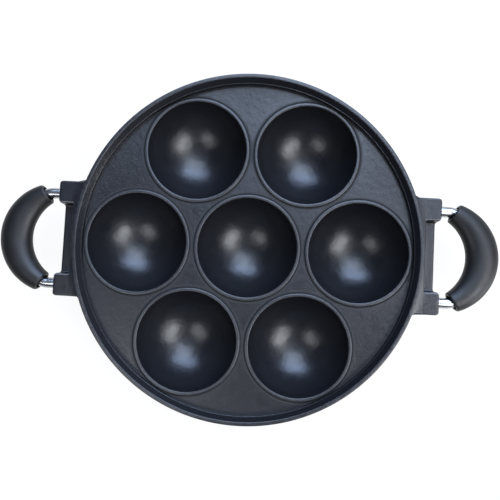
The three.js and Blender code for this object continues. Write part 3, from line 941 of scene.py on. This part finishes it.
def mark_casting(mesh):
    """Stores a mask per vertex for the wells' hollows, by distance from their spheres, the slope inside the
    lip, the crowns of the beads, partly rubbed and partly a painted highlight, and the creases outside them,
    where painted shade goes, by height and by distance from their rings, and the round edges at the
    pockets' ends, where a painted highlight goes, by their slant."""
    skin, margin = 0.05 * MM, 0.2 * MM
    crown_start, crown_full, crown_stop = 0.3, 0.8, 1.05
    crease_height = 0.4
    edge_upward, edge_spread = 0.8, 0.18
    past_lip, edge_depth, edge_reach = 0.4 * MM, 1.2 * MM, 2 * MM

    c, d = settings().casting, layout()
    points = vectors(mesh.vertices, "co")
    upward = vectors(mesh.vertex_normals, "vector")[:, 2]
    level = points[:, 2]
    middle = np.hypot(points[:, 0], points[:, 1])
    reach = to_nearest(points[:, :2], d.wells)
    ball = np.hypot(reach, level - d.sphere_level)
    hollow = (np.abs(ball - d.well_sphere) < skin) & (level < d.floor + skin)
    slope = (middle > d.wall_radius - skin) & (middle < d.lip_inner - margin) & (level > d.floor + margin)

    height = (level - d.floor) / c.bead_height
    # Bead crowns paler towards the top: partly rubbing, partly a painted highlight
    on_bead = (np.abs(reach - c.mouth_radius - c.bead_width / 2) < c.bead_width / 2) & (height < crown_stop)
    crown = np.clip((height - crown_start) / (crown_full - crown_start), 0, 1)
    beside = (reach > d.bead_radius - margin) & (np.abs(height) < crease_height)
    # Painted shade in the crease beside each bead, fading out across the apron
    shaded_crease = np.clip(1 - (reach - d.bead_ring) / c.bead_apron, 0, 1)

    # Painted highlight on the round edges at the pockets' ends, picked by the slant of their normals
    off_end = np.abs(np.abs(points[:, 1]) - (d.pocket_side + settings().lug.edge))
    on_lug = (middle > d.lip_radius + past_lip) & (level > d.block_top - edge_depth) & (off_end < edge_reach)
    slant = np.clip(1 - np.abs(upward - edge_upward) / edge_spread, 0, 1)
    shares = (on_lug * slant, hollow | slope, slope, on_bead * crown, beside * shaded_crease)
    for name, values in zip(MASKS, shares):
        mesh.attributes.new(name, "FLOAT", "POINT").data.foreach_set("value", values.astype(np.float32))


class BuildCasting(Operator):
    """Build the coated casting with its wells, tray, lip and lugs"""

    bl_idname = "egg_pan.build_casting"
    bl_label = "Build casting"

    def execute(self, context):
        overrun = 1 * MM
        body = casting_shell()
        lug = lug_surface()
        tools = rod_bores() + pin_holes(layout().block_bottom - overrun)
        lugs = [make_object("lug", on_side(lug, side)) for side in SIDES.values()]
        combine(body, lugs, "UNION")
        cuts = [make_object("tool", on_side(tool, side)) for side in SIDES.values() for tool in tools]
        combine(body, cuts, "DIFFERENCE")
        mark_casting(body.data)
        dress(body, "pan_body", coated_casting())
        return {"FINISHED"}


# The handles

def rod_surface():
    """A circle carried along the rod's centre line by distance from its middle: an arc, a tighter bend and
    a straight leg on each side. Both ends are drawn in to a chamfer and a flat."""
    chamfer = 0.5 * MM
    h, d = settings().handle, layout()
    half = (d.bend_centre - d.rod_end) + d.bend + d.half_arc
    inner = np.linspace(-half + chamfer, half - chamfer, ROD_STEPS)
    distance = np.concatenate([[-half, -half], inner, [half, half]])[:, None]
    thick = np.full_like(distance, d.rod_radius)
    thick[[0, -1]] = 0.0
    thick[[1, -2]] = d.rod_radius - chamfer

    side = np.where(distance < 0, -1.0, 1.0)
    s = np.abs(distance)
    turn = np.minimum(s, d.half_arc) / h.arc_radius + np.clip(s - d.half_arc, 0, d.bend) / h.bend_radius
    leg = np.clip(s - d.half_arc - d.bend, 0, None)
    in_arc = s <= d.half_arc
    a = full_turn(ROD_SIDES)[None]
    radius = np.where(in_arc, h.arc_radius, h.bend_radius) + thick * np.cos(a)
    x = np.where(in_arc, d.arc_centre, d.bend_centre) + radius * np.cos(turn) - leg
    y = np.where(in_arc, 0.0, d.leg_offset - h.bend_radius) + radius * np.sin(turn)
    points = np.stack([x, side * y, d.rod_level + thick * np.sin(a)], axis=-1)
    return points.reshape(-1, 3), grid_quads(len(distance), ROD_SIDES)


class BuildRods(Operator):
    """Build the two bent steel rods"""

    bl_idname = "egg_pan.build_rods"
    bl_label = "Build rods"

    def execute(self, context):
        material = polished_rod()
        holes = pin_holes(layout().block_bottom)
        for name, side in SIDES.items():
            rod = make_object(f"{name}_rod", on_side(rod_surface(), side))
            combine(rod, [make_object("tool", on_side(hole, side)) for hole in holes], "DIFFERENCE")
            dress(rod, f"{name}_handle_rod", material)
        return {"FINISHED"}


def grip_surface():
    """Ellipses across the rod's arc, whose half widths swell from the ends to the middle with the cosine of
    the angle round the arc. The rows run along the outside, round the end, in at the open mouth, back along
    the bore and out again, so that first and last row meet."""
    lead = 0.4 * MM
    h, d = settings().handle, layout()
    limit = d.grip_half_angle
    end_width = d.mouth_radius + h.side_wall
    end_height = d.mouth_radius + h.top_wall
    q = np.linspace(0, math.pi / 2, ROUND_STEPS + 1)
    tip = limit - h.grip_edge / h.arc_radius * (1 - np.sin(q))
    tip_inset = h.grip_edge * (1 - np.cos(q))
    even = np.linspace(-1, 1, GRIP_STEPS) * (limit - h.grip_edge / h.arc_radius)
    angles = np.concatenate([-tip[::-1], even[1:-1], tip])
    inset = np.concatenate([tip_inset[::-1], np.zeros(GRIP_STEPS - 2), tip_inset])
    share = (np.cos(angles) - math.cos(limit)) / (1 - math.cos(limit))
    half_width = end_width + (h.grip_width / 2 - end_width) * share - inset
    half_height = end_height + (h.grip_height / 2 - end_height) * share - inset

    snug = d.rod_radius + h.fit
    mouth_angle = limit - h.mouth_depth / h.arc_radius
    throat_angle = mouth_angle - (d.mouth_radius - snug) / h.arc_radius
    mouth_angles = np.array([limit, limit - lead / h.arc_radius, mouth_angle, throat_angle])
    mouth_radii = np.array([d.mouth_radius + lead, d.mouth_radius, d.mouth_radius, snug])
    bore = np.linspace(throat_angle, -throat_angle, BORE_STEPS)[1:-1]
    bore_angles = np.concatenate([mouth_angles, bore, -mouth_angles[::-1]])
    bore_radii = np.concatenate([mouth_radii, np.full(len(bore), snug), mouth_radii[::-1]])

    row_angle = np.concatenate([angles, bore_angles])[:, None]
    wide = np.concatenate([half_width, bore_radii])[:, None]
    high = np.concatenate([half_height, bore_radii])[:, None]
    t = full_turn(GRIP_SIDES)[None]
    lean = math.tan(h.end_lean) * row_angle / limit
    radius = h.arc_radius + wide * np.cos(t)
    turn = row_angle - lean * wide * np.cos(t) / h.arc_radius
    points = np.stack([
        d.arc_centre + radius * np.cos(turn),
        radius * np.sin(turn),
        d.rod_level + high * np.sin(t),
    ], axis=-1)
    return points.reshape(-1, 3), grid_quads(len(row_angle), GRIP_SIDES, close_rows=True)


class BuildGrips(Operator):
    """Build the two moulded crescent grips"""

    bl_idname = "egg_pan.build_grips"
    bl_label = "Build grips"

    def execute(self, context):
        material = moulded_grip()
        for name, side in SIDES.items():
            grip = make_object(f"{name}_grip", on_side(grip_surface(), side))
            dress(grip, f"{name}_handle_grip", material)
        return {"FINISHED"}


class FinishPins(Operator):
    """Give the four rod pins their steel finish"""

    bl_idname = "egg_pan.finish_pins"
    bl_label = "Finish pins"

    def execute(self, context):
        material = steel_pin()
        for side in SIDES:
            for end in ("rear", "front"):
                coat(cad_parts[f"{side}_{end}_rod_pin"].data, material)
        return {"FINISHED"}


# The stage

def pale_floor(paper):
    """Pale paper, white to the camera and in reflections, that takes a shadow and is clear from below."""
    fibre_share, fibre_shade, glow_share = 0.04, 0.9, 0.9
    seen_paper = (0.95, 0.95, 0.95)
    material, nodes = new_material("pale_floor")
    fibres = nodes.effect("Fine grain", Grains_per_metre=900.0, Coarseness=0.6)["Height"]
    tone = nodes.blend(nodes.math("MULTIPLY", fibres, fibre_share), paper, paper * fibre_shade)
    path = nodes.add("ShaderNodeLightPath").outputs
    tone = nodes.blend(path["Is Camera Ray"], tone, seen_paper)
    sheet = nodes.add(
        "ShaderNodeBsdfPrincipled", {"Base Color": tone, "Roughness": 0.9, "Specular IOR Level": 0.1}
    )
    white = nodes.add("ShaderNodeEmission", {"Color": WHITE, "Strength": 1.0})
    seen = nodes.math("MAXIMUM", path["Is Camera Ray"], path["Is Glossy Ray"])
    lit = nodes.shaders(nodes.math("MULTIPLY", seen, glow_share), sheet, white)
    below = nodes.add("ShaderNodeNewGeometry").outputs["Backfacing"]
    sides = nodes.shaders(below, lit, nodes.add("ShaderNodeBsdfTransparent"))
    nodes.add("ShaderNodeOutputMaterial", {"Surface": sides.outputs[0]})
    return material


def room_world(stage):
    """A dim room, lighter on the right, with a soft light overhead. The camera sees it as plain white."""
    world = bpy.data.worlds.new("room")
    bpy.context.scene.world = world
    world.use_nodes = True
    world.node_tree.nodes.clear()
    nodes = Nodes(world.node_tree)
    left, right = -0.5, 0.9
    soft = {"interpolation_type": "SMOOTHSTEP"}
    place = nodes.add("ShaderNodeTexCoord").outputs["Generated"]
    overhead = nodes.add("ShaderNodeVectorMath", {0: place, 1: GLOW_AXIS}, operation="DOT_PRODUCT")
    aside = nodes.add("ShaderNodeSeparateXYZ", {0: place}).outputs["X"]
    walls = nodes.ramp(aside, left, right, stage.left_wall, stage.right_wall, **soft)
    level = nodes.ramp(overhead.outputs["Value"], GLOW_EDGE, 1.0, walls, stage.ceiling, **soft)
    room = nodes.add("ShaderNodeBackground", {"Color": ROOM_TINT, "Strength": level})
    white = nodes.add("ShaderNodeBackground", {"Color": WHITE, "Strength": 1.0})
    both = nodes.shaders(nodes.add("ShaderNodeLightPath").outputs["Is Camera Ray"], room, white)
    nodes.add("ShaderNodeOutputWorld", {"Surface": both.outputs[0]})


def panel_lamp(name, power, size, direction, distance, tint):
    """A rectangular lamp at a distance in a direction, facing the middle of the pan."""
    data = bpy.data.lights.new(name, "AREA")
    data.shape = "RECTANGLE"
    data.size, data.size_y = size
    data.energy = power
    data.color = tint
    lamp = new_object(name, data)
    towards = Vector(direction).normalized()
    lamp.location = towards * distance
    lamp.rotation_euler = towards.to_track_quat("Z", "Y").to_euler()


def top_camera(stage, bead_top):
    """A camera over the pan, leaning a little towards the cook, at the photograph's distance and turn."""
    data = bpy.data.cameras.new("camera")
    data.sensor_width = 36.0
    data.lens = data.sensor_width * stage.focal_pixels / IMAGE_WIDTH
    camera = new_object("camera", data)
    turned_pan = (
        Matrix.Rotation(-stage.turn, 4, "Z")
        @ Matrix.Rotation(-stage.lean_side, 4, "Y")
        @ Matrix.Rotation(-stage.lean_back, 4, "X")
    )
    camera.matrix_world = (
        Matrix.Translation((0, 0, bead_top))
        @ turned_pan.transposed()
        @ Matrix.Translation((0, 0, stage.distance))
        @ Matrix.Rotation(-stage.aim_right, 4, "Y")
        @ Matrix.Rotation(-stage.aim_down, 4, "X")
    )
    bpy.context.scene.camera = camera


class BuildStage(Operator):
    """Set the pale floor, the room, the lamps and the camera"""

    bl_idname = "egg_pan.build_stage"
    bl_label = "Build stage"

    def execute(self, context):
        s = settings()
        square = FLOOR_HALF * np.array([[-1, -1], [1, -1], [1, 1], [-1, 1]])
        mesh = bpy.data.meshes.new("floor")
        mesh.from_pydata(np.column_stack([square, np.full(4, FLOOR_LEVEL)]).tolist(), [], [(0, 1, 2, 3)])
        coat(mesh, pale_floor(s.finish.floor))
        floor = new_object("floor", mesh)
        room_world(s.stage)
        for name, place in LAMPS.items():
            panel_lamp(name, getattr(s.stage, f"{name}_power"), *place)
        top_camera(s.stage, layout().floor + s.casting.bead_height)
        context.scene.view_settings.view_transform = "Standard"
        return {"FINISHED"}


STEPS = (BuildCasting, BuildRods, BuildGrips, FinishPins, BuildStage)


class EggPanPanel(Panel):
    """Lists the steps that build the egg pan"""

    bl_idname = "VIEW3D_PT_egg_pan"
    bl_label = "Egg Pan"
    bl_space_type = "VIEW_3D"
    bl_region_type = "UI"
    bl_category = "Egg Pan"

    def draw(self, context):
        for operator in STEPS:
            self.layout.operator(operator.bl_idname)


CLASSES = (CastingSizes, LugSizes, HandleSizes, Finishes, StageSettings, EggPan, *STEPS, EggPanPanel)


def register():
    """Registers the classes and hangs the property groups on the scene."""
    for cls in CLASSES:
        bpy.utils.register_class(cls)
    Scene.egg_pan = PointerProperty(type=EggPan)


def unregister():
    """Takes the property groups off the scene and removes the classes."""
    del Scene.egg_pan
    for cls in reversed(CLASSES):
        bpy.utils.unregister_class(cls)


def main():
    """Builds every piece and the stage."""
    register()
    bpy.ops.egg_pan.build_casting()
    bpy.ops.egg_pan.build_rods()
    bpy.ops.egg_pan.build_grips()
    bpy.ops.egg_pan.finish_pins()
    bpy.ops.egg_pan.build_stage()


if __name__ == "__main__":
    main()
